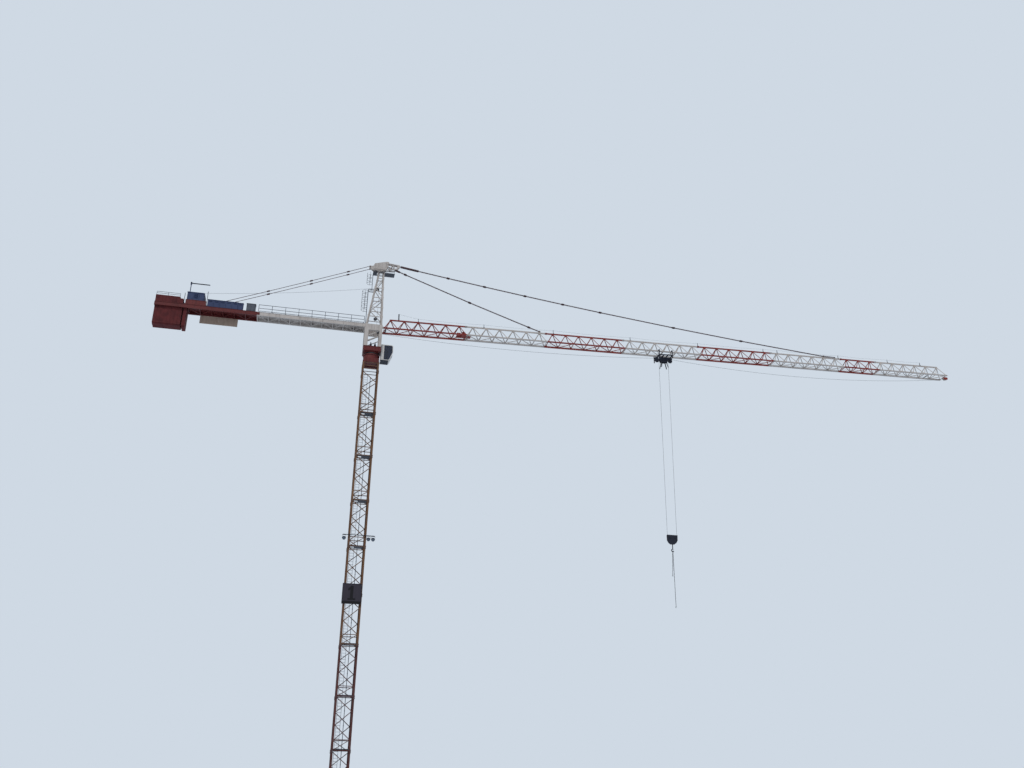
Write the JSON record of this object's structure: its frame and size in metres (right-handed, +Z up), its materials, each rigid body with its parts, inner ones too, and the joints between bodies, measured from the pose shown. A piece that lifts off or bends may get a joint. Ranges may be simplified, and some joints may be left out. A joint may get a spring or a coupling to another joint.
{
  "type": "tower crane, 1:10 scale model",
  "caption": "Saddle-jib tower crane at one tenth size: lattice mast, slewing head, long jib with trolley and hook, counter-jib with ballast.",
  "frame": {"origin": "middle of the mast on the flat underside of the base frame", "axes": "+X along the jib, +Y across the jib to its left seen from the mast, +Z up"},
  "size_m": [9.8562, 0.2305, 6.0363],
  "materials": {
    "galvanised_steel": "dull galvanised",
    "mast_maroon_paint": "worn maroon enamel",
    "mast_ochre_paint": "weathered ochre enamel",
    "dark_paint": "satin dark grey",
    "board_paint": "satin board paint with a plain numeral",
    "red_paint": "weathered oxide red enamel",
    "ring_steel": "greased steel",
    "cream_paint": "weathered cream enamel",
    "cast_sheave": "worn groove",
    "cab_paint": "satin white",
    "cab_glass": "tinted glass",
    "tie_steel": "dark red paint on forged bars",
    "painted_concrete": "cast concrete with a worn red coat",
    "slate_paint": "slate blue sheet metal",
    "beige_board": "matt beige sheet, blank",
    "wire_rope": "greased wire rope",
    "block_paint": "satin dark grey",
    "forged_steel": "forged black steel"
  },
  "bodies": {
    "tower": {"base_frame": "galvanised_steel", "mast_lower": "mast_maroon_paint", "mast_middle": "mast_ochre_paint", "mast_upper": "mast_ochre_paint", "mast_landings": "galvanised_steel", "mast_ladder": "galvanised_steel", "floodlights": "dark_paint", "number_board": "board_paint", "slewing_support": "red_paint", "slewing_ring": "ring_steel"},
    "upperworks": {"turntable": "red_paint", "slewing_motors": "dark_paint", "head_base": "cream_paint", "tower_head": "cream_paint", "head_crown": "cream_paint", "rope_sheaves": "cast_sheave", "head_access": "galvanised_steel", "cab": "cab_paint", "cab_windows": "cab_glass", "jib_section_1": "red_paint", "jib_section_2": "cream_paint", "jib_section_3": "red_paint", "jib_section_4": "cream_paint", "jib_section_5": "red_paint", "jib_section_6": "cream_paint", "jib_section_7": "red_paint", "jib_section_8": "cream_paint", "trolley_winch": "dark_paint", "tie_bars": "tie_steel", "counter_jib_front": "cream_paint", "counter_jib_rear": "red_paint", "handrails": "galvanised_steel", "counterweights": "painted_concrete", "winch_house": "slate_paint", "electrical_cabinet": "slate_paint", "hung_board": "beige_board", "hoist_rope_rear": "wire_rope", "jib_hoist_rope": "wire_rope"},
    "trolley": {"trolley_frame": "dark_paint", "trolley_wheels": "cast_sheave", "hoist_falls": "wire_rope"},
    "hook": {"hook_block": "block_paint", "hook": "forged_steel", "chain_sling": "forged_steel"},
    "davit": {"davit_arm": "dark_paint"}
  },
  "joints": [
    {"name": "slewing", "type": "hinge", "parent": "tower", "child": "upperworks", "pos_m": [0, 0, 4.814], "axis": [0, 0, 1], "continuous": true},
    {"name": "trolley_travel", "type": "slide", "parent": "upperworks", "child": "trolley", "axis": [0.9997, 0, 0.0246], "range_m": [-3.1, 3.7], "deforming": ["jib_hoist_rope"]},
    {"name": "hoist", "type": "slide", "parent": "trolley", "child": "hook", "axis": [0, 0, 1], "range_m": [-2.1, 1.8], "deforming": ["hoist_falls"]},
    {"name": "davit_swing", "type": "hinge", "parent": "upperworks", "child": "davit", "pos_m": [-2.063, 0, 5.46], "axis": [0, 0, 1], "range_deg": [-150, 150]}
  ]
}
